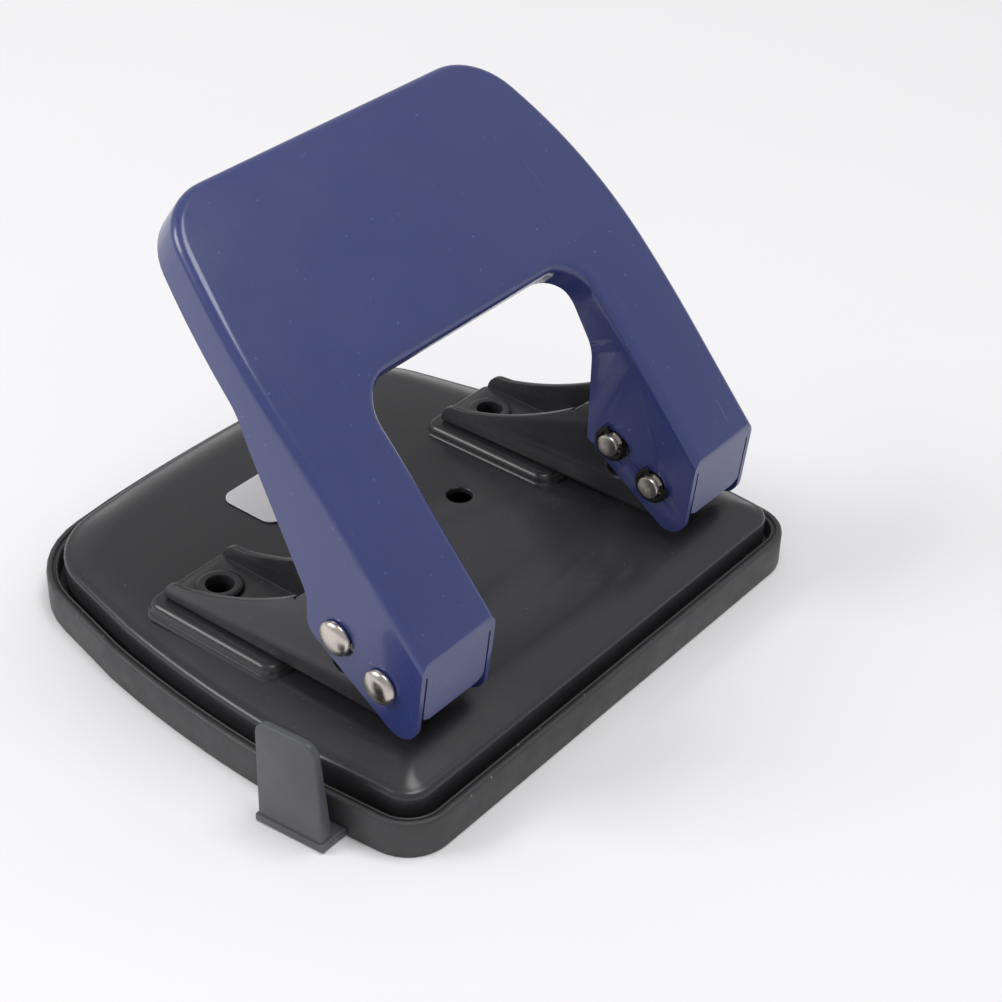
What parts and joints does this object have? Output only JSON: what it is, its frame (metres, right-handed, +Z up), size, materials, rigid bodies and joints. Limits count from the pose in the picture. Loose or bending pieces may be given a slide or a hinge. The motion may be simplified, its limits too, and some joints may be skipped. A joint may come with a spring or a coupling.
{
  "type": "hole punch",
  "caption": "Desk paper punch with a folding painted steel handle, punch units on a pressed base plate, a sliding paper gauge and a clip-on chip tray.",
  "frame": {"origin": "on the table, in the middle of the width, straight below the line where the paper's edge stops", "axes": "+Z up; +X along the row of holes, the paper gauge's tab is on -X; +Y towards the back, under the grip; the paper enters from -Y"},
  "size_m": [0.1294, 0.1133, 0.0951],
  "materials": {
    "blue_paint": "satin",
    "dark_grey_paint": "satin",
    "black_plastic": "satin",
    "grey_plastic": "satin",
    "nickel": "satin",
    "black_steel": "satin",
    "steel": "satin",
    "white_label": "satin"
  },
  "bodies": {
    "tray": {"chip_tray": "black_plastic"},
    "frame": {"base_plate": "dark_grey_paint", "label": "white_label", "bracket_left": "dark_grey_paint", "bracket_right": "dark_grey_paint", "die_left": "steel", "die_right": "steel", "front_eyelet_left": "dark_grey_paint", "front_eyelet_right": "dark_grey_paint", "rear_eyelet_left": "dark_grey_paint", "rear_eyelet_right": "dark_grey_paint", "pivot_pin_left": "nickel", "pivot_pin_right": "nickel", "pivot_clip_left": "black_steel", "pivot_clip_right": "black_steel", "spring_left": "steel", "spring_right": "steel"},
    "gauge": {"paper_gauge": "grey_plastic"},
    "lever": {"handle": "blue_paint"},
    "left_punch": {"punch_left": "steel", "drive_pin_left": "nickel", "drive_clip_left": "black_steel"},
    "right_punch": {"punch_right": "steel", "drive_pin_right": "nickel", "drive_clip_right": "black_steel"}
  },
  "joints": [
    {"name": "tray_release", "type": "slide", "parent": "tray", "child": "frame", "axis": [0, 0, 1], "range_m": [0, 0.04]},
    {"name": "gauge_slide", "type": "slide", "parent": "tray", "child": "gauge", "axis": [-1, 0, 0], "range_m": [0, 0.08]},
    {"name": "handle_hinge", "type": "hinge", "parent": "frame", "child": "lever", "pos_m": [0, -0.025, 0.0258], "axis": [-1, 0, 0], "range_deg": [0, 34], "stiffness_Nm_per_rad": 1.2, "springref_deg": -20.05},
    {"name": "left_stroke", "type": "slide", "parent": "frame", "child": "left_punch", "axis": [0, 0, -1], "range_m": [0, 0.0064], "deforming": ["spring_left"]},
    {"name": "right_stroke", "type": "slide", "parent": "frame", "child": "right_punch", "axis": [0, 0, -1], "range_m": [0, 0.0064], "deforming": ["spring_right"]}
  ],
  "couplings": [
    {"joint": "left_stroke", "follows": "handle_hinge", "m_per_rad": 0.010762},
    {"joint": "right_stroke", "follows": "handle_hinge", "m_per_rad": 0.010762}
  ]
}
